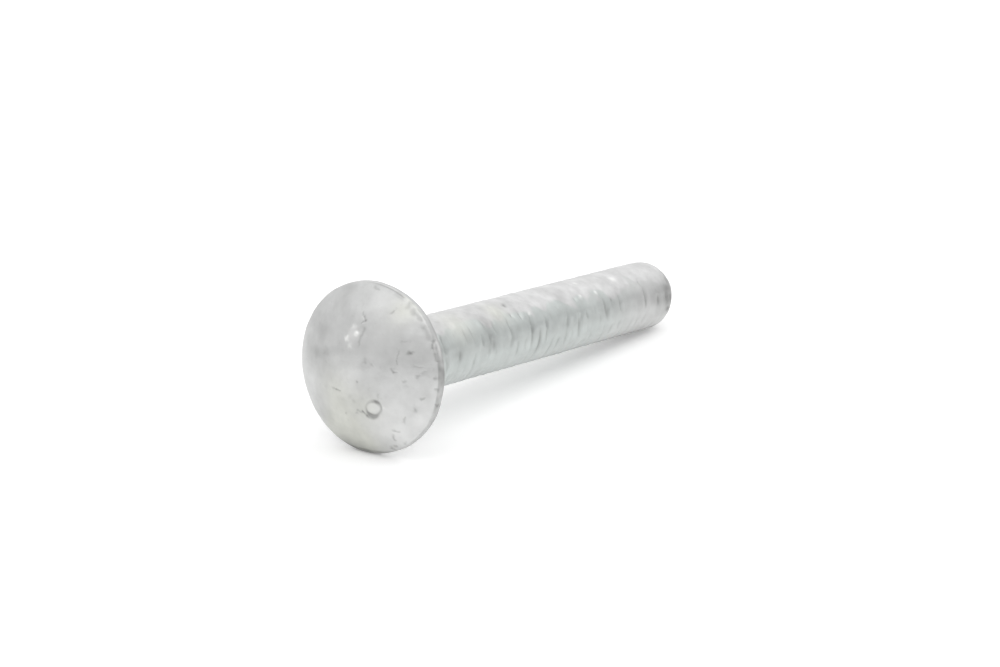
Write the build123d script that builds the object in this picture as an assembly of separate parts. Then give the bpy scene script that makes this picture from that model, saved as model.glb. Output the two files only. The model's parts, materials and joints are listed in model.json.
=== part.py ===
from build123d import *
import os
from math import atan2, cos, degrees, radians, sqrt, tan

# A carriage bolt, cold forged in one piece from steel wire, thread rolled and hot-dip galvanised.
# It lies on the floor, Z = 0, on the rim of its head and on the edge of its point, as it comes to rest.
# The axis is in the XZ plane and runs down from the head, at -X, to the point, at +X.
# All sizes are in millimetres and degrees, and include the zinc coating.

# Domed head
HEAD_DIAMETER = 21.5
HEAD_HEIGHT = 5.0  # from the bearing face to the crown
RIM_THICKNESS = 0.9  # the edge between the bearing face and the dome
RIM_ROUNDING = 0.5  # where the rim turns into the dome; the edge at the bearing face is sharp

# Square neck
NECK_WIDTH = 9.8  # across the flats
NECK_DEPTH = 5.2  # from the bearing face
NECK_CORNER_RADIUS = 0.9
NECK_ROOT_FILLET = 0.6
NECK_SHOULDER_ANGLE = 45.0  # between the axis and the slope that ends the corners

# Shank
LENGTH_UNDER_HEAD = 63.5
BLANK_DIAMETER = 8.5  # of the wire where it isn't threaded
BLANK_LENGTH = 1.6  # from the neck to the first thread
RUNOUT_ANGLE = 30.0  # between the axis and the rise of the first thread
THREAD_DIAMETER = 9.4  # over the crests
POINT_DIAMETER = 6.6
POINT_LENGTH = 2.3
POINT_ROUNDING = 0.4

# Place on the floor
TURN_AT_REST = 3.5  # of the square neck about the bolt's own axis, which may lie at any turn

RIM_RADIUS = HEAD_DIAMETER / 2
BLANK_RADIUS = BLANK_DIAMETER / 2
THREAD_RADIUS = THREAD_DIAMETER / 2
THREAD_END = LENGTH_UNDER_HEAD - POINT_LENGTH


def turned(section):
    """A section drawn as distance along the axis and radius, turned into a solid of revolution about X."""
    return revolve(Plane.XZ * section, Axis.X)


def domed_head():
    """A spherical dome that meets the axis squarely and turns into a thin rim."""
    crown = (-HEAD_HEIGHT, 0)
    dome_edge = (-RIM_THICKNESS, RIM_RADIUS)
    straight_sides = Polyline(crown, (0, 0), (0, RIM_RADIUS), dome_edge)
    dome = TangentArc(crown, dome_edge, tangent=(0, 1))
    section = make_face(straight_sides + dome)
    rim_corner = section.vertices().group_by(Axis.Y)[-1].sort_by(Axis.X)[0]
    return turned(fillet(rim_corner, min(RIM_ROUNDING, RIM_THICKNESS)))


def square_neck():
    """A square with rounded corners, cut to a cone where it ends, so that the corners slope to the shank."""
    prism = extrude(Plane.YZ * RectangleRounded(NECK_WIDTH, NECK_WIDTH, NECK_CORNER_RADIUS), NECK_DEPTH)
    corner_reach = NECK_WIDTH / sqrt(2)
    slope_length = (corner_reach - BLANK_RADIUS) / tan(radians(NECK_SHOULDER_ANGLE))
    cone_start = NECK_DEPTH - slope_length
    cone_section = Polyline(
        (min(0, cone_start), 0),
        (min(0, cone_start), corner_reach),
        (cone_start, corner_reach),
        (NECK_DEPTH, BLANK_RADIUS),
        (NECK_DEPTH, 0),
        close=True,
    )
    return prism & turned(make_face(cone_section))


def shank():
    """Plain wire behind the neck, the threaded length as a cylinder over its crests, and a blunt point."""
    blank_end = NECK_DEPTH + BLANK_LENGTH
    thread_start = blank_end + (THREAD_RADIUS - BLANK_RADIUS) / tan(radians(RUNOUT_ANGLE))
    outline = Polyline(
        (0, 0),
        (0, BLANK_RADIUS),
        (blank_end, BLANK_RADIUS),
        (thread_start, THREAD_RADIUS),
        (THREAD_END, THREAD_RADIUS),
        (LENGTH_UNDER_HEAD, POINT_DIAMETER / 2),
        (LENGTH_UNDER_HEAD, 0),
        close=True,
    )
    section = make_face(outline)
    point_corner = section.vertices().group_by(Axis.X)[-1].sort_by(Axis.Y)[-1]
    return turned(fillet(point_corner, POINT_ROUNDING))


def whole_bolt():
    """Head, neck and shank as one forging, with a fillet round the root of the neck."""
    forging = domed_head() + square_neck() + shank()
    bearing_face = forging.faces().filter_by(Axis.X).sort_by(Axis.X)[0]
    neck_root = bearing_face.inner_wires()[0].edges()
    return forging.fillet(NECK_ROOT_FILLET, neck_root)


def laid_on_floor(bolt):
    """The bolt tilted until the edge of its rim and the edge of its point touch the floor together."""
    tilt = atan2(RIM_RADIUS - THREAD_RADIUS, THREAD_END)
    bearing_centre_height = RIM_RADIUS * cos(tilt)
    tilted = Pos(Z=bearing_centre_height) * Rot(Y=degrees(tilt)) * Rot(X=TURN_AT_REST) * bolt
    return Pos(X=-tilted.bounding_box().center().X) * tilted


os.makedirs("parts", exist_ok=True)
carriage_bolt = laid_on_floor(whole_bolt())
export_step(carriage_bolt, "parts/carriage_bolt.step")
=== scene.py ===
import bpy
import json
import numpy as np
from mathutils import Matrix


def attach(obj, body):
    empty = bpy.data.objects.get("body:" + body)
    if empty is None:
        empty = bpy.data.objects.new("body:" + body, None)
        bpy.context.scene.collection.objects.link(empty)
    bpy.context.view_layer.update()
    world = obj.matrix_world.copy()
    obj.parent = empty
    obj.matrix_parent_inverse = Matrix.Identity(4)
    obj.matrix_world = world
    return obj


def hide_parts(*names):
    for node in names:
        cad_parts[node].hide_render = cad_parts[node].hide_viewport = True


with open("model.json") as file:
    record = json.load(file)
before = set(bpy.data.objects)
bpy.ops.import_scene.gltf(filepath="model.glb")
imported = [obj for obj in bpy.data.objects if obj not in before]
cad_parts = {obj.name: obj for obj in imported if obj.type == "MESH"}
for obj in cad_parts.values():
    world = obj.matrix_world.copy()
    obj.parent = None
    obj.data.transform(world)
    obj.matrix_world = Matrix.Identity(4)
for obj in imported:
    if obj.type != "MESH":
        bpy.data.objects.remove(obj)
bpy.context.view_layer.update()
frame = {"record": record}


# Domed head. Upset from the end of the steel wire between a cupped die and a flat one: a shallow spherical
# cap on a thin rim, with a flat bearing face under it. The rim turns into the dome with a forged rounding,
# and the zinc rounds off the edge of the bearing face. Sizes of the bolt are in millimetres and degrees.
HEAD_RADIUS = 10.75
HEAD_HEIGHT = 5.0
RIM_THICKNESS = 0.9
RIM_ROUNDING = 0.5
ZINC_EDGE = 0.08
COLUMNS = 512
CROWN_COLUMNS = 64
DOME_ROWS = 86
ROUNDING_ROWS = 7
RIM_ROWS = 5
EDGE_ROWS = 4


def columns(kept):
    """Each row's column numbers round the axis, rounded down so that only as many as it keeps differ."""
    step = COLUMNS // np.asarray(kept)[:, None]
    return np.arange(COLUMNS + 1) // step * step


def arc(along, out, radius, start, end, count):
    """A circle about (along, out) whose normal turns from start to end, in degrees: 0 leaves the crown, 90
    leaves the axis squarely and 180 points along the shank. Each row is a point's along, out and lean."""
    lean = np.radians(np.linspace(start, end, count))
    return np.stack([along - radius * np.cos(lean), out + radius * np.sin(lean), lean], axis=1)


def head_rows():
    """The profile crown, dome, rim rounding, rim and zinc edge, turned round the axis. The columns are halved
    each time that the radius is, so that the faces stay about as wide as they are long."""
    rise = HEAD_HEIGHT - RIM_THICKNESS
    dome_radius = (HEAD_RADIUS**2 + rise**2) / (2 * rise)
    dome_centre = dome_radius - HEAD_HEIGHT
    rounding_out = HEAD_RADIUS - RIM_ROUNDING
    dome_end = np.degrees(np.arcsin(rounding_out / (dome_radius - RIM_ROUNDING)))
    rounding_along = dome_centre - np.sqrt((dome_radius - RIM_ROUNDING) ** 2 - rounding_out**2)
    dome = arc(dome_centre, 0, dome_radius, 0, dome_end, DOME_ROWS)
    rounding = arc(rounding_along, rounding_out, RIM_ROUNDING, dome_end, 90, ROUNDING_ROWS)
    rim_along = np.linspace(rounding_along, -ZINC_EDGE, RIM_ROWS)
    rim = np.stack([rim_along, 0 * rim_along + HEAD_RADIUS, 0 * rim_along + np.pi / 2], axis=1)
    edge = arc(-ZINC_EDGE, HEAD_RADIUS - ZINC_EDGE, ZINC_EDGE, 90, 180, EDGE_ROWS)
    profile = np.concatenate([dome, rounding[1:], rim[1:], edge[1:]])
    doublings = np.digitize(profile[:, 1], HEAD_RADIUS * np.array([1 / 8, 1 / 4, 1 / 2]))
    column = columns(CROWN_COLUMNS * 2**doublings)
    along, out, lean = (profile[:, k, None] + 0.0 * column for k in range(3))
    return along, out, lean, column


# Square neck. Forged under the head in the same blow, to bite into timber and stop the bolt turning: a square
# with rounded corners, a fillet at its root, and slopes that let the four corners die into the round shank.
NECK_WIDTH = 9.8
NECK_DEPTH = 5.2
NECK_CORNER_RADIUS = 0.9
NECK_ROOT_FILLET = 0.6
NECK_SHOULDER_ANGLE = 45.0
NECK_SOFTENING = 0.25
TURN_AT_REST = 3.5
BLANK_RADIUS = 4.25
NECK_COLUMNS = 256
FACE_ROWS = 14
ROOT_ROWS = 6
FLAT_ROWS = 24


def angle_of(column):
    """The angle round the axis of a column number, in radians from the level side that points to +Y."""
    return 2 * np.pi * (column % COLUMNS) / COLUMNS


def wrapped(turn, period=2 * np.pi):
    """The turn with whole periods taken off, so that it lies within half a period of zero."""
    return (turn + period / 2) % period - period / 2


def softer_of(a, b, width):
    """The smaller of a and b, rounded over about the given width where they cross."""
    return (a + b - np.hypot(a - b, width)) / 2


def square_radius(angle):
    """The distance from the axis to a square with rounded corners: the half width over the cosine on a flat,
    and the far cut of the corner's circle near a corner."""
    half = NECK_WIDTH / 2
    corner = half - NECK_CORNER_RADIUS
    from_flat = np.abs(wrapped(angle - np.radians(TURN_AT_REST), np.pi / 2))
    from_corner = np.pi / 4 - from_flat
    reach = corner * np.sqrt(2)
    inside = np.maximum(NECK_CORNER_RADIUS**2 - (reach * np.sin(from_corner)) ** 2, 0)
    on_corner = reach * np.cos(from_corner) + np.sqrt(inside)
    return np.where(np.tan(from_flat) < corner / half, half / np.cos(from_flat), on_corner)


def neck_rows():
    """The bearing face drawn in from the rim to the square, a quarter circle up its root, then the square
    itself, held under a cone that ends its corners at the shank."""
    face_part = np.linspace(0, 1, FACE_ROWS)[1:, None]
    root_turn = np.radians(np.linspace(0, 90, ROOT_ROWS))[1:, None]
    flat_along = np.linspace(NECK_ROOT_FILLET, NECK_DEPTH, FLAT_ROWS)[1:, None]
    column = columns(np.full(len(face_part) + len(root_turn) + len(flat_along), NECK_COLUMNS))
    square = square_radius(angle_of(column[:1]))
    root_out = square + NECK_ROOT_FILLET
    rim_edge = HEAD_RADIUS - ZINC_EDGE
    face_out = rim_edge + face_part * (root_out - rim_edge)
    fillet_out = root_out - NECK_ROOT_FILLET * np.sin(root_turn)
    slope = BLANK_RADIUS + (NECK_DEPTH - flat_along) * np.tan(np.radians(NECK_SHOULDER_ANGLE))
    flat_out = softer_of(square, slope, NECK_SOFTENING)
    along = np.concatenate([0 * face_part, NECK_ROOT_FILLET * (1 - np.cos(root_turn)), flat_along])
    out = np.concatenate([face_out, fillet_out, flat_out])
    lean = np.concatenate([0 * face_part + np.pi, np.pi - root_turn, 0 * flat_along + np.pi / 2])
    return along + 0.0 * column, out, lean + 0.0 * column, column


# Threaded shank. The wire's own diameter shows behind the neck, then a right-hand thread, 16 to the inch, is
# rolled into the rest of it. The zinc fills the grooves in part, most along the top, and rounds the crests.
# The end is a blunt cone. Waves are given as longest and shortest length, count and seed.
LENGTH_UNDER_HEAD = 63.5
BLANK_LENGTH = 1.6
THREAD_RADIUS = 4.7
THREAD_PITCH = 25.4 / 16
THREAD_FLANK_ANGLE = 60.0
CREST_SHARE = 3 / 8  # of a sharp thread's height, between its middle and the crest
GROOVE_DEPTH = 0.36
CREST_SOFTENING = 0.12
GROOVE_SOFTENING = 0.20
POINT_RADIUS = 3.3
POINT_LENGTH = 2.3
POINT_ROUNDING = 0.4
POINT_SOFTENING = 0.18
COAT_MIDDLE = 90.0
COAT_HALF = 38.0
COAT_RUN_ALONG = 46.0
COAT_RUN_LENGTH = 14.0
COAT_RUN_REACH = 14.0
COAT_WANDER = 15.0
COAT_EDGE_WAVES = (10.0, 2.0, 16, 5)
COAT_FADE = 10.0
OPEN_FAR_FROM = 150.0
OPEN_LEAST = 0.05
OPEN_MOST = 0.50
OPEN_POWER = 1.5
OPEN_COVERED = 0.4
CREVICE_DEPTH = 0.15
CREVICE_POWER = 3
CREVICE_SQUEEZE = 2.5
CREVICE_WAVES = (6.0, 2.0, 24, 6)
CREVICE_FROM = 0.1
CREVICE_RISE = 0.6
SHANK_COLUMNS = 128
END_COLUMNS = 64
WIRE_ROWS = 7
ROWS_A_PITCH = 10
CORNER_ROWS = 5
END_ROWS = 12


def eased(value):
    """0 below 0, 1 above 1, and a smooth step between."""
    part = np.clip(value, 0, 1)
    return part * part * (3 - 2 * part)


def waves(points, longest, shortest, count, seed):
    """The mean of sine waves with seeded directions and phases, from the longest to the shortest length,
    scaled so that it mostly stays between -1 and 1."""
    draw = np.random.default_rng(seed)
    direction = draw.normal(size=(3, count))
    direction /= np.linalg.norm(direction, axis=0)
    phase = draw.uniform(0, 2 * np.pi, count)
    length = np.geomspace(longest, shortest, count)
    return np.sin(points @ (2 * np.pi * direction / length) + phase).sum(axis=-1) / np.sqrt(2 * count)


def thick_coat(along, angle):
    """1 along the upper side, where the zinc lies thick enough to fill the grooves, and 0 elsewhere. Its edge
    lies farther round near one run of zinc, by a bell along the shank, and wanders by seeded waves."""
    cylinder = np.stack([along, THREAD_RADIUS * np.cos(angle), THREAD_RADIUS * np.sin(angle)], axis=-1)
    from_middle = np.degrees(np.abs(wrapped(angle - np.radians(COAT_MIDDLE))))
    edge = COAT_HALF + COAT_RUN_REACH * np.exp(-(((along - COAT_RUN_ALONG) / COAT_RUN_LENGTH) ** 2))
    edge = edge + COAT_WANDER * waves(cylinder, *COAT_EDGE_WAVES)
    return eased((edge - from_middle) / COAT_FADE + 0.5)


def open_strokes(along, angle):
    """1 where seeded waves, squeezed along the shank, peak outside the thick coat, and 0 elsewhere."""
    level_out, upward_out = THREAD_RADIUS * np.cos(angle), THREAD_RADIUS * np.sin(angle)
    squeezed = np.stack([CREVICE_SQUEEZE * along, level_out, upward_out], axis=-1)
    peak = eased((waves(squeezed, *CREVICE_WAVES) - CREVICE_FROM) / CREVICE_RISE)
    return peak * (1 - thick_coat(along, angle))


def thread_radius(along, column):
    """A triangle wave that climbs one pitch a turn, cut off softly at the crests and filled softly at the
    roots. The zinc leaves little of it open on the side where it ran thick and more on the far side, and
    closes on the rest to a narrow crevice, open in short strokes. The thread grows out of the plain wire in
    its first turn and is cut down by the cone of the point."""
    angle = angle_of(column)
    wave = 1 - 4 * np.abs((along / THREAD_PITCH - column / COLUMNS) % 1 - 0.5)
    sharp_height = THREAD_PITCH / 2 * np.tan(np.radians(THREAD_FLANK_ANGLE))
    middle = THREAD_RADIUS - CREST_SHARE * sharp_height
    crested = softer_of(middle + wave * sharp_height / 2, THREAD_RADIUS, CREST_SOFTENING)
    rooted = -softer_of(-crested, -(THREAD_RADIUS - GROOVE_DEPTH), GROOVE_SOFTENING)
    away = (1 - np.cos(angle - np.radians(OPEN_FAR_FROM))) / 2
    even = OPEN_LEAST + (OPEN_MOST - OPEN_LEAST) * away**OPEN_POWER
    even = even * (1 - OPEN_COVERED * thick_coat(along, angle))
    crevice = CREVICE_DEPTH * open_strokes(along, angle) * ((1 - wave) / 2) ** CREVICE_POWER
    filled = THREAD_RADIUS - even * (THREAD_RADIUS - rooted) - crevice
    grown = eased((along - NECK_DEPTH - BLANK_LENGTH) / THREAD_PITCH)
    cone = POINT_RADIUS + (LENGTH_UNDER_HEAD - along) * (THREAD_RADIUS - POINT_RADIUS) / POINT_LENGTH
    return softer_of(BLANK_RADIUS + grown * (filled - BLANK_RADIUS), cone, POINT_SOFTENING)


def shank_rows():
    """Rings of plain wire, then rows that climb with the thread, so that each keeps to its own part of the
    groove, held between the ends of the thread, then the rounded corner of the point and its flat end."""
    slope = np.arctan2(THREAD_RADIUS - POINT_RADIUS, POINT_LENGTH)
    corner_reach = POINT_ROUNDING * np.tan((np.pi / 2 - slope) / 2)
    corner_out = POINT_RADIUS - corner_reach
    corner_along = LENGTH_UNDER_HEAD - POINT_ROUNDING
    thread_start = NECK_DEPTH + BLANK_LENGTH
    thread_end = LENGTH_UNDER_HEAD - corner_reach * np.cos(slope)
    climbs = int(np.ceil((thread_end - thread_start) / THREAD_PITCH)) + 1
    climb = np.arange(1, climbs * ROWS_A_PITCH)[:, None] / ROWS_A_PITCH
    corner = arc(corner_along, corner_out, POINT_ROUNDING, 90 + np.degrees(slope), 180, CORNER_ROWS)
    face_out = np.linspace(corner_out, 0, END_ROWS)[1:]
    face = np.stack([0 * face_out + LENGTH_UNDER_HEAD, face_out, 0 * face_out + np.pi], axis=1)
    ending = np.concatenate([corner[1:], face])
    wire_column = columns(np.full(WIRE_ROWS - 1, SHANK_COLUMNS))
    wire_along = np.linspace(NECK_DEPTH, thread_start, WIRE_ROWS)[1:, None] + 0.0 * wire_column
    thread_column = columns(np.full(len(climb), SHANK_COLUMNS))
    thread_along = thread_start + THREAD_PITCH * (climb + thread_column / COLUMNS - 1)
    thread_along = np.clip(thread_along, thread_start, thread_end)
    ending_column = columns(np.where(ending[:, 1] > POINT_RADIUS / 2, SHANK_COLUMNS, END_COLUMNS))
    ending_along, ending_out, ending_lean = (ending[:, k, None] + 0.0 * ending_column for k in range(3))
    along = np.concatenate([wire_along, thread_along])
    column = np.concatenate([wire_column, thread_column])
    out = np.concatenate([thread_radius(along, column), ending_out])
    lean = np.concatenate([np.full(along.shape, np.pi / 2), ending_lean])
    return np.concatenate([along, ending_along]), out, lean, np.concatenate([column, ending_column])


# Zinc skin. The forging is hung in molten zinc, so one coat runs over head, neck and shank. It sets a little
# uneven everywhere and more so on the shank. Beside the thick coat the shank is cooler in colour and its
# grooves carry painted shade. The point is darker, partly with dull zinc where the last of it drips off and
# partly with painted shade.
SKIN_RELIEF = 0.026
SKIN_WAVES = (9.0, 1.6, 22, 3)
SHANK_RELIEF = 0.018
SHANK_WAVES = (7.0, 2.5, 12, 9)
COAT_RELIEF = 0.012
COAT_WAVES = (2.2, 0.9, 20, 10)
GRAIN_RELIEF = 0.0025
GRAIN_WAVES = (1.4, 0.45, 30, 4)
END_CLEAR = 1.5  # the radius of the flat end that stays free of the shank's relief and marks
GROOVE_PAINTED_SHADE = 0.60
POINT_DULL_AND_SHADE = 0.62
POINT_FADE = 1.2
COOL_END = 56.0
COOL_FADE = 14.0

along, out, lean, column = (np.concatenate(rows) for rows in zip(head_rows(), neck_rows(), shank_rows()))
angle = angle_of(column)
turned = np.degrees(angle)
across, up = out * np.cos(angle), out * np.sin(angle)
own_points = np.stack([along, across, up], axis=-1)
on_head = 1.0 * (along < -RIM_THICKNESS / 2)
on_thread = eased((along - NECK_DEPTH - BLANK_LENGTH) / THREAD_PITCH) * eased((out - END_CLEAR) / END_CLEAR)
on_point = eased((along - LENGTH_UNDER_HEAD + POINT_LENGTH) / POINT_FADE + 0.5)
coat = on_thread * thick_coat(along, angle)
groove = on_thread * (1 - on_point) * np.clip((THREAD_RADIUS - out) / GROOVE_DEPTH, 0, 1)

raised = SKIN_RELIEF * (waves(own_points, *SKIN_WAVES) - 1)
raised = raised + on_thread * SHANK_RELIEF * (waves(own_points, *SHANK_WAVES) - 1)
raised = raised + coat * COAT_RELIEF * (waves(own_points, *COAT_WAVES) - 1)
raised = raised + GRAIN_RELIEF * (waves(own_points, *GRAIN_WAVES) - 1)
# Painted shade in the grooves, and on the point dull zinc with painted shade.
stain_and_shade = GROOVE_PAINTED_SHADE * groove * (1 - coat) + POINT_DULL_AND_SHADE * on_point
bright_zinc_and_highlight = np.zeros_like(along)
cream = np.zeros_like(along)
cool = on_thread * (1 - coat) * eased((COOL_END - along) / COOL_FADE)


# Marks on the head. The setting zinc ran into lumps, caught dross in pits and was scratched against other
# bolts, and it froze in creamier patches. Each lump's shine is a painted highlight. The duller and brighter
# patches are partly the zinc's own tone and partly painted shade and painted highlights. The head's lowest
# part carries painted shade, darker towards the bottom. Places are read from the photo and given across, to
# +Y, and up from the crown.
MARK_WANDER = 0.13
MARK_ACROSS_WAVES = (1.3, 0.5, 16, 7)
MARK_UP_WAVES = (1.3, 0.5, 16, 8)
SCRATCH_TAPER = 0.55
HEAD_LUMPS = [  # across, up, radius, height, shine
    (-0.20, 4.85, 0.36, 0.10, 0.80),
    (1.05, 4.10, 0.42, 0.09, 0.90),
    (0.40, 5.50, 0.45, 0.05, 0.50),
    (0.45, 3.40, 0.50, 0.05, 0.45),
    (0.30, 4.60, 1.20, 0.08, 0.40),
]
HEAD_PITS = [  # across, up, radius, depth, darkness
    (-7.35, 3.50, 0.34, 0.030, 0.70),
    (-1.20, -0.90, 0.28, 0.020, 0.90),
    (-2.10, 1.90, 0.40, 0.010, 0.55),
    (-8.20, -3.55, 0.32, 0.020, 0.65),
    (0.95, -5.40, 0.22, 0.015, 0.50),
    (-0.80, -4.95, 0.24, 0.015, 0.50),
    (-10.30, 0.70, 0.30, 0.030, 0.55),
    (-10.45, -0.80, 0.25, 0.030, 0.50),
    (-10.35, -2.75, 0.28, 0.030, 0.50),
    (-0.60, -3.50, 0.30, 0.010, 0.25),
    (-6.20, -8.40, 0.28, 0.020, 0.60),
    (-5.00, -8.95, 0.32, 0.020, 0.80),
    (-4.30, -9.30, 0.34, 0.020, 0.80),
]
HEAD_SCRATCHES = [  # across and up at the start, across and up at the end, width, depth, darkness
    (-0.30, 7.30, -0.65, 6.90, 0.16, 0.05, 0.40),
    (-0.65, 6.90, -1.10, 6.50, 0.18, 0.06, 0.60),
    (-1.10, 6.50, -0.60, 6.15, 0.18, 0.05, 0.45),
    (-1.05, 5.60, -0.85, 3.60, 0.34, 0.05, 0.45),
    (-4.00, 7.90, -4.30, 8.10, 0.22, 0.02, 0.50),
    (-0.40, 10.30, -1.30, 10.10, 0.28, 0.02, 0.45),
    (-3.60, 10.05, -5.00, 9.15, 0.32, 0.01, 0.20),
    (-5.60, 8.85, -7.60, 7.30, 0.55, 0.01, 0.50),
    (-8.95, 5.50, -8.00, 6.70, 0.60, 0.01, 0.42),
    (-9.55, 4.50, -9.85, 3.60, 0.40, 0.01, 0.30),
    (-7.15, 3.40, -7.70, 3.65, 0.30, 0.01, 0.30),
    (-6.25, 4.70, -6.85, 4.90, 0.20, 0.01, 0.25),
    (-6.00, 3.60, -6.10, 1.95, 0.14, 0.03, 0.40),
    (-5.55, 1.45, -5.85, 1.00, 0.24, 0.02, 0.45),
    (-5.85, 1.00, -6.20, 1.15, 0.22, 0.02, 0.40),
    (-6.95, 0.05, -7.30, 0.20, 0.26, 0.02, 0.40),
    (-8.50, 0.72, -8.75, 0.88, 0.30, 0.02, 0.42),
    (-9.05, 1.35, -9.25, 1.42, 0.22, 0.02, 0.30),
    (-8.00, 2.00, -9.20, 2.00, 0.14, 0.02, 0.25),
    (-9.35, 5.00, -9.65, 4.25, 0.26, 0.04, 0.62),
    (-9.95, 3.60, -10.20, 2.70, 0.28, 0.04, 0.50),
    (-8.90, -2.02, -9.30, -1.92, 0.26, 0.02, 0.60),
    (-6.75, -5.40, -7.00, -4.60, 0.26, 0.02, 0.55),
    (-5.35, -6.65, -6.00, -6.80, 0.26, 0.03, 1.00),
    (-5.10, -7.45, -5.05, -8.00, 0.26, 0.03, 0.90),
    (2.90, -2.45, 2.10, -2.50, 0.20, 0.03, 0.35),
    (2.20, -2.50, 1.50, -2.60, 0.22, 0.04, 0.60),
    (-2.85, 1.65, -3.30, 1.40, 0.14, 0.02, 0.25),
    (-3.95, -2.10, -3.90, -2.80, 0.14, 0.02, 0.30),
    (-2.80, -5.42, -2.20, -5.22, 0.26, 0.05, 0.45),
    (-2.20, -5.22, -1.65, -4.72, 0.28, 0.05, 0.70),
    (-1.65, -4.72, -0.85, -4.60, 0.26, 0.03, 0.45),
]
HEAD_DULL_PATCHES_AND_SHADE = [  # across, up, radius, darkness
    (6.0, 1.1, 3.4, 0.12),
    (4.2, 1.8, 0.9, 0.15),
    (5.9, 4.3, 1.2, 0.25),
    (4.6, 7.5, 1.0, 0.14),
    (3.2, 7.9, 0.9, 0.12),
    (3.8, 0.4, 3.2, 0.22),
    (7.6, 1.0, 2.0, 0.26),
    (-2.4, -1.6, 2.2, 0.22),
    (-1.0, -3.6, 1.8, 0.14),
    (1.0, -4.0, 1.8, 0.14),
    (5.5, -6.0, 3.0, 0.12),
    (-7.6, 6.9, 1.2, 0.22),
    (3.5, 9.6, 1.6, 0.16),
    (5.2, -2.8, 2.8, 0.13),
    (2.2, -2.6, 1.4, 0.10),
    (-9.2, -1.2, 1.3, 0.20),
    (6.2, 1.4, 1.0, 0.24),
    (5.0, 1.4, 1.1, 0.14),
    (1.4, -3.6, 0.5, 0.12),
    (0.0, -3.0, 0.5, 0.16),
    (-1.8, -2.9, 0.5, 0.14),
    (4.1, -2.6, 0.5, 0.10),
    (-4.0, -1.9, 0.3, 0.12),
    (-1.6, -8.1, 0.7, 0.10),
]
HEAD_BRIGHT_PATCHES_AND_HIGHLIGHTS = [  # across, up, radius, shine
    (-5.0, 9.2, 0.6, 0.25),
    (-6.0, 8.7, 0.5, 0.25),
    (-2.6, 8.8, 2.2, 0.20),
    (-3.2, 5.2, 1.6, 0.12),
    (-3.0, 2.6, 1.4, 0.14),
    (-5.6, -6.9, 3.4, 0.36),
    (-1.2, 4.5, 4.4, 0.12),
    (-4.6, 7.2, 1.8, 0.12),
    (4.0, 3.6, 2.6, 0.10),
    (-8.8, -5.0, 1.4, 0.25),
    (-4.6, -3.7, 0.35, 0.25),
    (-2.2, -7.4, 2.2, 0.10),
    (-0.5, 2.0, 1.6, 0.10),
    (-5.5, 6.0, 2.0, 0.08),
]
HEAD_CREAM = [  # across, up, radius, amount
    (2.2, -3.0, 4.0, 0.8),
    (2.0, -7.6, 4.0, 1.3),
    (-0.5, -9.3, 3.5, 1.0),
    (-2.2, -4.0, 3.0, 0.6),
    (-5.2, 8.3, 2.2, 0.9),
    (4.4, -8.6, 2.2, 0.8),
]
LOW_EDGE_PAINTED_SHADE = 0.52
LOW_EDGE_FROM = 8.2
LOW_EDGE_FADE = 2.2
LOW_EDGE_ACROSS = 2.6
LOW_EDGE_REACH = 4.8

mark_across = across + MARK_WANDER * waves(own_points, *MARK_ACROSS_WAVES)
mark_up = up + MARK_WANDER * waves(own_points, *MARK_UP_WAVES)


def bell(distance, radius):
    """1 at the middle, falling to about a seventh at the radius."""
    return np.exp(-2 * (distance / radius) ** 2)


def near_on_head(place_across, place_up, radius):
    """A bell round a place on the head, uneven by the marks' wander."""
    return on_head * bell(np.hypot(mark_across - place_across, mark_up - place_up), radius)


def near_scratch(start_across, start_up, end_across, end_up, width):
    """A bell across a straight scratch on the head: the distance to the scratch's nearest point, counted as
    more towards its end, which is thinner."""
    run_across, run_up = end_across - start_across, end_up - start_up
    from_across, from_up = mark_across - start_across, mark_up - start_up
    part = np.clip((from_across * run_across + from_up * run_up) / (run_across**2 + run_up**2), 0, 1)
    nearest = np.hypot(from_across - part * run_across, from_up - part * run_up)
    return on_head * bell(nearest / (1 - SCRATCH_TAPER * part), width)


# Each lump is raised, and its shine is a painted highlight.
for place_across, place_up, radius, height, brightness_and_highlight in HEAD_LUMPS:
    near = near_on_head(place_across, place_up, radius)
    raised = raised + height * near
    bright_zinc_and_highlight = bright_zinc_and_highlight + brightness_and_highlight * near
for place_across, place_up, radius, depth, dark in HEAD_PITS:
    near = near_on_head(place_across, place_up, radius)
    raised = raised - depth * near
    stain_and_shade = stain_and_shade + dark * near
for start_across, start_up, end_across, end_up, width, depth, dark in HEAD_SCRATCHES:
    near = near_scratch(start_across, start_up, end_across, end_up, width)
    raised = raised - depth * near
    stain_and_shade = stain_and_shade + dark * near
# Duller patches, partly the zinc's own tone and partly painted shade.
for place_across, place_up, radius, dark in HEAD_DULL_PATCHES_AND_SHADE:
    stain_and_shade = stain_and_shade + dark * near_on_head(place_across, place_up, radius)
# Brighter patches, partly the zinc's own tone and partly painted highlights.
for place_across, place_up, radius, brightness_and_highlight in HEAD_BRIGHT_PATCHES_AND_HIGHLIGHTS:
    bright_zinc_and_highlight = bright_zinc_and_highlight + brightness_and_highlight * near_on_head(place_across, place_up, radius)
for place_across, place_up, radius, amount in HEAD_CREAM:
    cream = cream + amount * on_head * bell(np.hypot(across - place_across, up - place_up), radius)
# Painted shade on the head's lowest part, darker towards the bottom.
low_edge_shade = on_head * eased((-up - LOW_EDGE_FROM) / LOW_EDGE_FADE)
stain_and_shade = stain_and_shade + LOW_EDGE_PAINTED_SHADE * low_edge_shade * bell(across - LOW_EDGE_ACROSS, LOW_EDGE_REACH)


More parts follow.
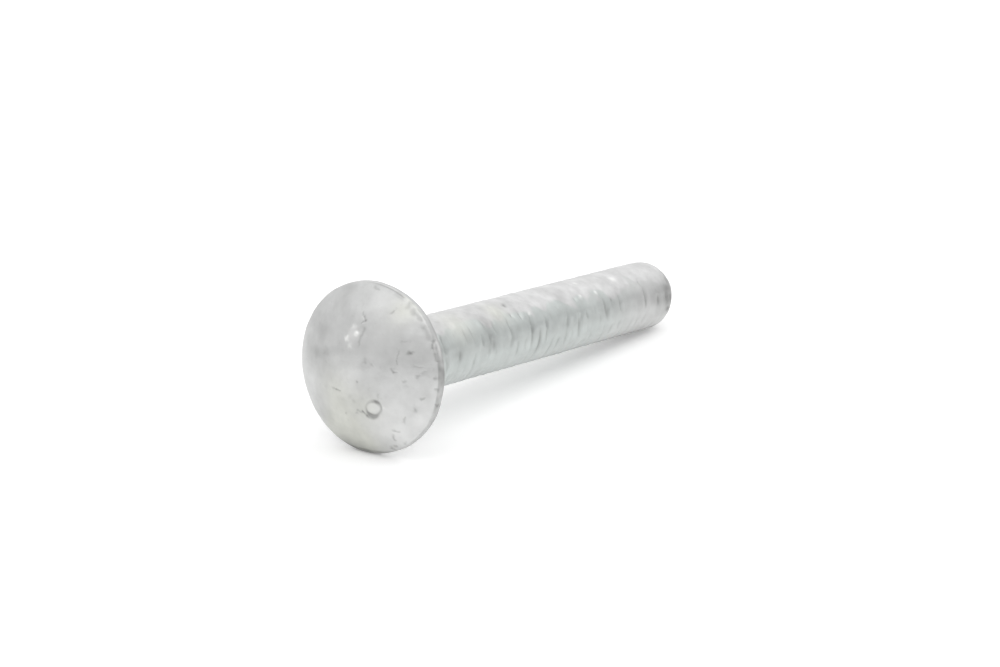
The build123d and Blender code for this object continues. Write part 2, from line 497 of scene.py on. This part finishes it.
# Rim of the head. Zinc drains to the rim and sets there as a bead towards the bearing face, with a painted
# highlight on one spot beside it. The edge carries painted shade, and round the lower side an uneven band of
# painted shade takes its place. Places are degrees round from +Y.
BEARING_MARGIN = 0.05
RIM_EDGE_PAINTED_SHADE = 0.35
RIM_EDGE_WIDTH = 0.40
RIM_EDGE_FADE = 0.2
RIM_EDGE_DEPTH = 0.50
RIM_EDGE_RISE = 0.25
RIM_BAND_FROM = 160.0
RIM_BAND_RISE = 8.0
RIM_BAND_TO = 310.0
RIM_BAND_FALL = 25.0
RIM_BAND_WIDTH = 0.20
RIM_BAND_FADE = 0.15
RIM_BAND_PAINTED_SHADE = 0.30
RIM_BAND_BROADER = [(180.0, 22.0, 0.12), (268.0, 24.0, 0.45)]  # place, reach, width added
RIM_BAND_SHADE_ADDED = [(180.0, 24.0, 0.36), (268.0, 24.0, 0.25)]  # place, reach, darkness added
RIM_BAND_UNEVEN = 0.4
RIM_BAND_WAVES = (3.0, 0.9, 20, 12)
GLINT_PLACE = 157.0
GLINT_WIDTH = 9.0
GLINT_REACH = 0.35
GLINT_DEPTH = 0.3
GLINT_PAINTED_HIGHLIGHT = 0.6
BEAD_PLACE = 130.0
BEAD_WIDTH = 32.0
BEAD_REACH = 0.8
BEAD_RISE = 0.5
BEAD_HEIGHT = 0.22


def swollen(value, places):
    """The value with a bell added at each place round the axis."""
    return value + sum(added * bell(turned - place, reach) for place, reach, added in places)


before_neck = 1.0 * (along < BEARING_MARGIN)
rim_edge = eased((out - HEAD_RADIUS + RIM_EDGE_WIDTH) / RIM_EDGE_FADE)
rim_edge = before_neck * rim_edge * eased((along + RIM_EDGE_DEPTH) / RIM_EDGE_RISE)
lower_side = eased((turned - RIM_BAND_FROM) / RIM_BAND_RISE) * eased((RIM_BAND_TO - turned) / RIM_BAND_FALL)
band_width = swollen(RIM_BAND_WIDTH, RIM_BAND_BROADER)
rim_shade_band = before_neck * lower_side * eased((out - HEAD_RADIUS + band_width) / RIM_BAND_FADE)
band_uneven = 1 + RIM_BAND_UNEVEN * waves(own_points, *RIM_BAND_WAVES)
band_shade = swollen(RIM_BAND_PAINTED_SHADE, RIM_BAND_SHADE_ADDED) * band_uneven
# Painted shade along the rim's edge and in a band round its lower side.
stain_and_shade = stain_and_shade + RIM_EDGE_PAINTED_SHADE * rim_edge * (1 - lower_side) + band_shade * rim_shade_band
# A painted highlight on one spot of the rim.
painted_glint = bell(turned - GLINT_PLACE, GLINT_WIDTH) * bell(along + RIM_THICKNESS / 2, GLINT_REACH)
bright_zinc_and_highlight = bright_zinc_and_highlight + GLINT_PAINTED_HIGHLIGHT * painted_glint * (out > HEAD_RADIUS - GLINT_DEPTH)
bead = before_neck * bell(turned - BEAD_PLACE, BEAD_WIDTH) * bell(out - HEAD_RADIUS, BEAD_REACH)
bead = BEAD_HEIGHT * bead * eased((along + BEAD_RISE) / BEAD_RISE)


# Blister on the head. Gas lifted the setting zinc into a low round blister, a little longer one way than the
# other. The coat cracked open round it, and the groove that is left holds dirt and painted shade, widest and
# darkest below.
BLISTER_ACROSS = -3.25
BLISTER_UP = -3.98
BLISTER_RADIUS = 0.90
BLISTER_STRETCH = 1.22
BLISTER_LEAN = 131.0
BLISTER_WANDER = 0.06
BLISTER_WAVES = (2.2, 1.0, 16, 11)
BLISTER_HEIGHT = 0.05
BLISTER_SLOPE = 0.25
BLISTER_SHINE = 0.08
BLISTER_SHINE_INSET = 0.1
BLISTER_SHINE_FADE = 0.2
LIP_WIDTH = 0.17
LIP_DIRT_AND_SHADE = 0.34
LIP_PLACES = [  # degrees round the blister, reach, darkness added, width added
    (-80.0, 70.0, 1.35, 0.27),
    (120.0, 35.0, 0.75, 0.0),
    (170.0, 45.0, 0.25, 0.0),
]
LIP_DEPTH = 0.05
LIP_DEPTH_BY_DARK = 0.03
LIP_UNEVEN = 0.30
LIP_WAVES = (1.8, 0.8, 16, 13)

blister_lean = np.radians(BLISTER_LEAN)
blister_across, blister_up = across - BLISTER_ACROSS, up - BLISTER_UP
long_way = blister_across * np.cos(blister_lean) + blister_up * np.sin(blister_lean)
short_way = blister_up * np.cos(blister_lean) - blister_across * np.sin(blister_lean)
from_blister = np.hypot(long_way / BLISTER_STRETCH, short_way)
from_blister = from_blister + BLISTER_WANDER * waves(own_points, *BLISTER_WAVES)
blister_turn = np.arctan2(blister_up, blister_across)
lip_dirt_and_shade, lip_width = LIP_DIRT_AND_SHADE, LIP_WIDTH
for place, reach, darker, wider in LIP_PLACES:
    near = bell(np.degrees(wrapped(blister_turn - np.radians(place))), reach)
    lip_dirt_and_shade = lip_dirt_and_shade + darker * near
    lip_width = lip_width + wider * near
lip = on_head * bell(from_blister - BLISTER_RADIUS, lip_width)
raised = raised + on_head * BLISTER_HEIGHT * eased((BLISTER_RADIUS - from_blister) / BLISTER_SLOPE)
raised = raised - lip * (LIP_DEPTH + LIP_DEPTH_BY_DARK * lip_dirt_and_shade)
# Dirt and painted shade in the groove, heaviest below the blister.
stain_and_shade = stain_and_shade + lip * lip_dirt_and_shade * (1 + LIP_UNEVEN * waves(own_points, *LIP_WAVES))
shiny_radius = BLISTER_RADIUS - BLISTER_SHINE_INSET
bright_zinc_and_highlight = bright_zinc_and_highlight + BLISTER_SHINE * on_head * eased((shiny_radius - from_blister) / BLISTER_SHINE_FADE)


# Marks on the shank. As the coat drained it pitted and lumped and left creamier patches. Each lump's shine is
# a painted highlight, and the streaks are deeper grooves darkened with painted shade. The duller and brighter
# patches are partly the zinc's own tone and partly painted shade and painted light. A band of painted shade
# runs along one side and a band of painted light below it. Places are read from the photo and given along
# from the bearing face and in degrees round from +Y.
SHANK_PITS = [  # along, round, radius, depth
    (24.8, 112.0, 0.50, 0.08),
    (61.0, 174.0, 0.45, 0.10),
    (60.7, -166.0, 0.40, 0.08),
    (61.6, 160.0, 0.35, 0.08),
]
SHANK_LUMPS = [  # along, round, radius, height
    (42.1, 103.0, 0.34, 0.05),
    (44.1, 134.0, 0.34, 0.05),
    (40.4, 134.0, 0.40, 0.05),
    (49.8, 116.0, 0.70, 0.04),
    (28.0, 140.0, 0.34, 0.04),
]
LUMP_PAINTED_HIGHLIGHT = 0.7
SHANK_DULL_PATCHES_AND_SHADE = [  # along, round, radius, darkness
    (18.5, 130.0, 1.8, 0.25),
    (18.5, 172.0, 1.8, 0.30),
    (11.5, 175.0, 1.5, 0.20),
    (29.0, 130.0, 1.5, 0.20),
    (36.0, 124.0, 2.2, 0.30),
    (57.8, 170.0, 2.2, 0.40),
    (58.6, 196.0, 2.0, 0.25),
    (8.2, 130.0, 2.2, 0.22),
    (60.3, 158.0, 1.2, 0.60),
    (60.2, 176.0, 1.2, 0.80),
    (60.5, -167.0, 1.0, 0.50),
    (9.5, 118.0, 2.4, 0.12),
    (15.0, 108.0, 2.2, 0.16),
    (18.5, 143.0, 1.6, 0.20),
    (20.5, 122.0, 2.6, 0.10),
    (25.5, 132.0, 1.6, 0.14),
]
SHANK_BRIGHT_PATCHES_AND_LIGHT = [  # along, round, radius, shine
    (42.5, 145.0, 3.0, 0.12),
    (45.0, 105.0, 2.6, 0.10),
    (48.0, 220.0, 3.5, 0.12),
]
SHANK_STREAKS = [  # along, round, length, darkness
    (27.6, 180.0, 1.8, 0.50),
    (29.4, 188.0, 2.0, 0.60),
    (38.4, 180.0, 1.8, 0.50),
    (44.9, 164.0, 1.5, 0.50),
    (11.7, 178.0, 1.2, 0.40),
    (9.2, -171.0, 1.2, 0.40),
    (19.0, 171.0, 1.5, 0.30),
]
STREAK_WIDTH = 0.40
STREAK_DEPTH = 0.10
SHANK_CREAM = [  # along, round, radius, amount
    (13.0, 126.0, 3.5, 0.7),
    (22.0, 121.0, 2.5, 0.9),
]
SHADE_BAND_PLACE = 175.0
SHADE_BAND_REACH = 15.0
SHADE_BAND_DARK = 0.24
LIGHT_BAND_PLACE = 224.0
LIGHT_BAND_REACH = 30.0
LIGHT_BAND_SHINE = 0.16
LIGHT_BAND_ADDED = 0.10
LIGHT_BAND_FROM = 26.0
LIGHT_BAND_RISE = 10.0


def round_way(place_angle):
    """The distance round the shank's surface from an angle, in millimetres."""
    return THREAD_RADIUS * wrapped(angle - np.radians(place_angle))


def near_on_shank(place_along, place_angle, radius):
    """A bell round a place on the shank's surface, uneven by the marks' wander."""
    along_way = along + mark_across - across - place_along
    return on_thread * bell(np.hypot(along_way, round_way(place_angle) + mark_up - up), radius)


def near_streak(place_along, place_angle, length):
    """A bell across a streak that climbs with the thread, times a bell along it."""
    climb = THREAD_PITCH * round_way(place_angle) / (2 * np.pi * THREAD_RADIUS)
    return on_thread * bell(along - place_along - climb, STREAK_WIDTH) * bell(round_way(place_angle), length)


for place_along, place_angle, radius, depth in SHANK_PITS:
    near = near_on_shank(place_along, place_angle, radius)
    raised = raised - depth * near
    stain_and_shade = stain_and_shade + near
# Each lump is raised, and its shine is a painted highlight.
for place_along, place_angle, radius, height in SHANK_LUMPS:
    near = near_on_shank(place_along, place_angle, radius)
    raised = raised + height * near
    bright_zinc_and_highlight = bright_zinc_and_highlight + LUMP_PAINTED_HIGHLIGHT * near
# Duller patches, partly the zinc's own tone and partly painted shade, as near the head and at the point.
for place_along, place_angle, radius, dark in SHANK_DULL_PATCHES_AND_SHADE:
    stain_and_shade = stain_and_shade + dark * near_on_shank(place_along, place_angle, radius)
# Brighter patches, partly the zinc's own tone and partly painted light.
for place_along, place_angle, radius, brightness_and_highlight in SHANK_BRIGHT_PATCHES_AND_LIGHT:
    bright_zinc_and_highlight = bright_zinc_and_highlight + brightness_and_highlight * near_on_shank(place_along, place_angle, radius)
# Deeper groove streaks, darkened with painted shade.
for place_along, place_angle, length, dark in SHANK_STREAKS:
    near = near_streak(place_along, place_angle, length)
    raised = raised - STREAK_DEPTH * near
    stain_and_shade = stain_and_shade + dark * near
for place_along, place_angle, radius, amount in SHANK_CREAM:
    cream = cream + amount * near_on_shank(place_along, place_angle, radius)
# A band of painted shade along one side of the shank.
stain_and_shade = stain_and_shade + SHADE_BAND_DARK * on_thread * bell(turned - SHADE_BAND_PLACE, SHADE_BAND_REACH)
# A band of painted light along its lower side.
painted_light_band = LIGHT_BAND_SHINE + LIGHT_BAND_ADDED * eased((along - LIGHT_BAND_FROM) / LIGHT_BAND_RISE)
bright_zinc_and_highlight = bright_zinc_and_highlight + painted_light_band * on_thread * bell(turned - LIGHT_BAND_PLACE, LIGHT_BAND_REACH)


# The whole bolt. Head, neck and shank are one piece of steel under one coat, so they make one closed surface.
# Its place comes from the frame's square neck, which puts the bolt on the floor on its rim and its point.
MM_A_METRE = 1000
MERGE_STEPS_A_MM = 1e6

coated_along = along - raised * np.cos(lean) + bead
coated_out = np.maximum(out + raised * np.sin(lean) * (out > 0), 0)
neck_mount = next(mount for mount in frame["record"]["mounts"] if mount["name"] == "square_neck")
axis = np.array(neck_mount["axis"])
level = np.array([0.0, 1.0, 0.0])
upward = np.cross(axis, level)
bearing_centre = np.array(neck_mount["pos_m"]) * MM_A_METRE - axis * NECK_DEPTH / 2
radial = np.cos(angle)[..., None] * level + np.sin(angle)[..., None] * upward
bolt_points = bearing_centre + coated_along[..., None] * axis + coated_out[..., None] * radial


def closed_mesh(name, points, values):
    """One mesh from a grid of points, with values kept on them: points that coincide become one vertex, which
    closes the seam, the poles and the steps in the column count, and each quad becomes two triangles, without
    those that shrank to a line."""
    flat = points.reshape(-1, 3)
    steps = np.round(flat * MERGE_STEPS_A_MM).astype(np.int64)
    first, number = np.unique(steps, axis=0, return_index=True, return_inverse=True)[1:]
    number = number.reshape(points.shape[:2])
    a, b, c, d = number[:-1, :-1], number[:-1, 1:], number[1:, 1:], number[1:, :-1]
    halves = [np.stack(corners, axis=-1).reshape(-1, 3) for corners in ((a, b, c), (a, c, d))]
    triangles = np.concatenate(halves)
    shrunk = (triangles == np.roll(triangles, 1, axis=1)).any(axis=1)
    triangles = triangles[~shrunk]
    mesh = bpy.data.meshes.new(name)
    mesh.from_pydata(flat[first] / MM_A_METRE, [], triangles)
    mesh.polygons.foreach_set("use_smooth", np.ones(len(triangles), dtype=bool))
    for value_name, value in values.items():
        layer = mesh.attributes.new(value_name, "FLOAT", "POINT")
        layer.data.foreach_set("value", value.reshape(-1)[first].astype(np.float32))
    mesh.update()
    return mesh


coat_values = {"stain_and_shade": stain_and_shade, "bright_zinc_and_highlight": bright_zinc_and_highlight, "cream": cream, "cool": cool, "coat": coat}
bolt_mesh = closed_mesh("carriage_bolt_in_zinc", bolt_points, coat_values)
bolt = bpy.data.objects.new("carriage_bolt_in_zinc", bolt_mesh)
bpy.context.scene.collection.objects.link(bolt)
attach(bolt, "root")
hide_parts("carriage_bolt")


# Galvanised finish. The molten zinc froze into a pale matt grey skin with faint clouds, small crystals,
# darker pinholes and a mottle where it ran thick. Marks, painted shade and painted highlights are read from
# the values on the mesh's points. Noises are given as the size of their lumps, detail and seed, and the pairs
# as a low and a high value.
NEUTRAL_ZINC = (0.580, 0.584, 0.580, 1)
COOL_ZINC = (0.551, 0.581, 0.570, 1)
CREAM_ZINC = (0.598, 0.604, 0.565, 1)
PALE_ZINC = (0.622, 0.622, 0.622, 1)
DARK_ZINC_AND_SHADE = (0.18, 0.18, 0.175, 1)
HIGHLIGHT_AND_BRIGHT_ZINC = (0.88, 0.88, 0.87, 1)
ZINC_TINT = (0.88, 0.88, 0.88, 1)
ZINC_METALLIC = 0.9
WIDE_SPAN = (0.3, 0.7)
FULL_SPAN = (0.0, 1.0)
CLOUDS = (6.0, 3, 1.0)
CLOUD_SHADES = (0.96, 1.04)
CRYSTALS = (1.4, 4, 2.0)
CRYSTAL_SHADES = (0.94, 1.06)
MOTTLE = (1.8, 3, 6.0)
MOTTLE_SPAN = (0.35, 0.65)
MOTTLE_SHADES = (0.92, 1.07)
PINHOLES = (0.6, 2, 5.0)
PINHOLE_SPAN = (0.62, 0.76)
PINHOLE_DARK = (0.0, 0.10)
STAIN_AND_SHADE_DARK = (0.0, 0.75)
MATT_PATCHES = (2.2, 3, 3.0)
MATT_ROUGHNESS = (0.36, 0.46)
GRAIN = (0.35, 3, 4.0)
GRAIN_STRENGTH = 0.15
GRAIN_HEIGHT = 0.05

zinc = bpy.data.materials.new("galvanised_zinc")
zinc.use_nodes = True
nodes, links = zinc.node_tree.nodes, zinc.node_tree.links
shader = nodes["Principled BSDF"]
shader.inputs["Metallic"].default_value = ZINC_METALLIC
shader.inputs["Specular Tint"].default_value = ZINC_TINT
coordinate = nodes.new("ShaderNodeTexCoord")


def noise(size, detail, seed):
    """Cloudy noise with lumps about size millimetres across."""
    node = nodes.new("ShaderNodeTexNoise")
    node.noise_dimensions = "4D"
    node.inputs["Scale"].default_value = MM_A_METRE / size
    node.inputs["Detail"].default_value = detail
    node.inputs["W"].default_value = seed
    links.new(coordinate.outputs["Object"], node.inputs["Vector"])
    return node.outputs["Fac"]


def spread(value, span, to_span):
    """The value moved from one span to another, and held there."""
    node = nodes.new("ShaderNodeMapRange")
    node.inputs["From Min"].default_value, node.inputs["From Max"].default_value = span
    node.inputs["To Min"].default_value, node.inputs["To Max"].default_value = to_span
    links.new(value, node.inputs["Value"])
    return node.outputs["Result"]


def mixed(kind, amount, first, second):
    """Two colours mixed by the amount, each a socket or a fixed value, through the node's colour sockets."""
    node = nodes.new("ShaderNodeMix")
    node.data_type = "RGBA"
    node.blend_type = kind
    for socket, value in ((node.inputs[0], amount), (node.inputs[6], first), (node.inputs[7], second)):
        if isinstance(value, bpy.types.NodeSocket):
            links.new(value, socket)
        else:
            socket.default_value = value
    return node.outputs[2]


def surface_value(name):
    """A value kept on the mesh's points."""
    node = nodes.new("ShaderNodeAttribute")
    node.attribute_name = name
    return node.outputs["Fac"]


def grey(value):
    """The value as a grey colour."""
    node = nodes.new("ShaderNodeCombineColor")
    for channel in ("Red", "Green", "Blue"):
        links.new(value, node.inputs[channel])
    return node.outputs["Color"]


clouds = grey(spread(noise(*CLOUDS), WIDE_SPAN, CLOUD_SHADES))
crystals = grey(spread(noise(*CRYSTALS), WIDE_SPAN, CRYSTAL_SHADES))
mottle = grey(spread(noise(*MOTTLE), MOTTLE_SPAN, MOTTLE_SHADES))
pinholes = spread(noise(*PINHOLES), PINHOLE_SPAN, PINHOLE_DARK)
stain_and_shade_fac = spread(surface_value("stain_and_shade"), FULL_SPAN, STAIN_AND_SHADE_DARK)
brightness_and_highlight = spread(surface_value("bright_zinc_and_highlight"), FULL_SPAN, FULL_SPAN)
colour = mixed("MIX", surface_value("cool"), NEUTRAL_ZINC, COOL_ZINC)
colour = mixed("MIX", surface_value("coat"), colour, PALE_ZINC)
colour = mixed("MIX", surface_value("cream"), colour, CREAM_ZINC)
colour = mixed("MULTIPLY", 1.0, colour, clouds)
colour = mixed("MULTIPLY", 1.0, colour, crystals)
colour = mixed("MULTIPLY", surface_value("coat"), colour, mottle)
colour = mixed("MIX", pinholes, colour, DARK_ZINC_AND_SHADE)
# Stains and painted shade darken the colour.
colour = mixed("MIX", stain_and_shade_fac, colour, DARK_ZINC_AND_SHADE)
# Brighter zinc and painted highlights lighten it.
colour = mixed("MIX", brightness_and_highlight, colour, HIGHLIGHT_AND_BRIGHT_ZINC)
links.new(colour, shader.inputs["Base Color"])
links.new(spread(noise(*MATT_PATCHES), WIDE_SPAN, MATT_ROUGHNESS), shader.inputs["Roughness"])
grain = nodes.new("ShaderNodeBump")
grain.inputs["Strength"].default_value = GRAIN_STRENGTH
grain.inputs["Distance"].default_value = GRAIN_HEIGHT / MM_A_METRE
links.new(noise(*GRAIN), grain.inputs["Height"])
links.new(grain.outputs["Normal"], shader.inputs["Normal"])
bolt.data.materials.append(zinc)


# Floor. A sheet of matt white board under the bolt, wide enough to fill the picture from any side. It is lit
# from within a little, so that it burns out to plain white and the bolt's shadow stays pale. Sizes in metres.
FLOOR_HALF = 4.0
FLOOR_GLOW = 0.160
BOARD_WHITE = (0.94, 0.94, 0.94, 1)
BOARD_ROUGHNESS = 0.9
GLOW_WHITE = (1.0, 1.0, 1.0, 1)
floor_mesh = bpy.data.meshes.new("floor")
floor_corners = FLOOR_HALF * np.array([[-1, -1, 0], [1, -1, 0], [1, 1, 0], [-1, 1, 0]])
floor_mesh.from_pydata(floor_corners, [], [(0, 1, 2, 3)])
floor = bpy.data.objects.new("floor", floor_mesh)
bpy.context.scene.collection.objects.link(floor)
white_board = bpy.data.materials.new("white_board")
white_board.use_nodes = True
board_shader = white_board.node_tree.nodes["Principled BSDF"]
board_shader.inputs["Base Color"].default_value = BOARD_WHITE
board_shader.inputs["Roughness"].default_value = BOARD_ROUGHNESS
board_shader.inputs["Specular IOR Level"].default_value = 0.0
board_shader.inputs["Emission Color"].default_value = GLOW_WHITE
board_shader.inputs["Emission Strength"].default_value = FLOOR_GLOW
floor_mesh.materials.append(white_board)


# Light. A white tent stands all round and glows most some way above the floor, and three square soft boxes
# hang in it, facing down: to the camera's right, to its left and in front of the bolt. Their strengths were
# fitted to the photo's tones. Sizes in metres.
TENT_GLOW = 0.352
TENT_WHITE = (1.0, 1.0, 1.0, 1)
TENT_BEARING = np.radians(215.0)
TENT_SHADES = [  # a direction, and the glow added by the cosine towards it and by the cosine's square
    ((np.cos(TENT_BEARING), np.sin(TENT_BEARING), 0.0), -0.306, 0.326),
    ((-np.sin(TENT_BEARING), np.cos(TENT_BEARING), 0.0), -0.085, 0.0),
    ((0.0, 0.0, 1.0), 2.257, -2.564),
]
world = bpy.data.worlds.new("white_tent")
world.use_nodes = True
tent_nodes, tent_links = world.node_tree.nodes, world.node_tree.links
tent_direction = tent_nodes.new("ShaderNodeTexCoord")
tent_strength = None
for direction, slope, bend in TENT_SHADES:
    towards = tent_nodes.new("ShaderNodeVectorMath")
    towards.operation = "DOT_PRODUCT"
    towards.inputs[1].default_value = direction
    steepness = tent_nodes.new("ShaderNodeMath")
    steepness.operation = "MULTIPLY_ADD"
    steepness.inputs[1].default_value = bend
    steepness.inputs[2].default_value = slope
    brighter = tent_nodes.new("ShaderNodeMath")
    brighter.operation = "MULTIPLY_ADD"
    brighter.inputs[2].default_value = TENT_GLOW
    tent_links.new(tent_direction.outputs["Generated"], towards.inputs[0])
    tent_links.new(towards.outputs["Value"], steepness.inputs[0])
    tent_links.new(towards.outputs["Value"], brighter.inputs[0])
    tent_links.new(steepness.outputs["Value"], brighter.inputs[1])
    if tent_strength:
        tent_links.new(tent_strength, brighter.inputs[2])
    tent_strength = brighter.outputs["Value"]
tent_links.new(tent_strength, tent_nodes["Background"].inputs["Strength"])
tent_nodes["Background"].inputs["Color"].default_value = TENT_WHITE
bpy.context.scene.world = world
SOFT_BOX_SIDE = 0.8
SOFT_BOX_HEIGHT = 0.8
SOFT_BOXES = {"right": (0.4, -0.4, 2.8), "left": (-0.4, 0.4, 1.45), "front": (-0.4, -0.4, 2.8)}  # x, y, power
for place_name, (place_x, place_y, power) in SOFT_BOXES.items():
    soft_box = bpy.data.lights.new("soft_box_" + place_name, "AREA")
    soft_box.shape = "SQUARE"
    soft_box.size = SOFT_BOX_SIDE
    soft_box.energy = power
    soft_box_object = bpy.data.objects.new("soft_box_" + place_name, soft_box)
    soft_box_object.location = (place_x, place_y, SOFT_BOX_HEIGHT)
    bpy.context.scene.collection.objects.link(soft_box_object)
bpy.context.scene.view_settings.view_transform = "Standard"


# Camera. It stands off the bolt's front corner on the head's side and looks down a little on the dome, with
# the shank running away behind it, through a long lens that keeps lines nearly parallel. Its place and lens
# were fitted to the photo's outline. Sizes in metres.
CAMERA_AIM = np.array([-0.00102, 0.00108, 0.00737])
CAMERA_BEARING = 215.35
CAMERA_HEIGHT_ANGLE = 17.79
CAMERA_DISTANCE = 0.4116
CAMERA_LENS = 113.7
CAMERA_NEAR = 0.01
bearing, height_angle = np.radians([CAMERA_BEARING, CAMERA_HEIGHT_ANGLE])
ahead = np.array([np.cos(bearing), np.sin(bearing), 0.0]) * np.cos(height_angle)
to_camera = ahead + np.array([0.0, 0.0, np.sin(height_angle)])
camera_right = np.array([-np.sin(bearing), np.cos(bearing), 0.0])
camera_up = np.cross(to_camera, camera_right)
camera_data = bpy.data.cameras.new("camera")
camera_data.lens = CAMERA_LENS
camera_data.clip_start = CAMERA_NEAR
camera = bpy.data.objects.new("camera", camera_data)
camera_matrix = np.eye(4)
camera_matrix[:3, 0] = camera_right
camera_matrix[:3, 1] = camera_up
camera_matrix[:3, 2] = to_camera
camera_matrix[:3, 3] = CAMERA_AIM + CAMERA_DISTANCE * to_camera
camera.matrix_world = camera_matrix.T
bpy.context.scene.collection.objects.link(camera)
bpy.context.scene.camera = camera
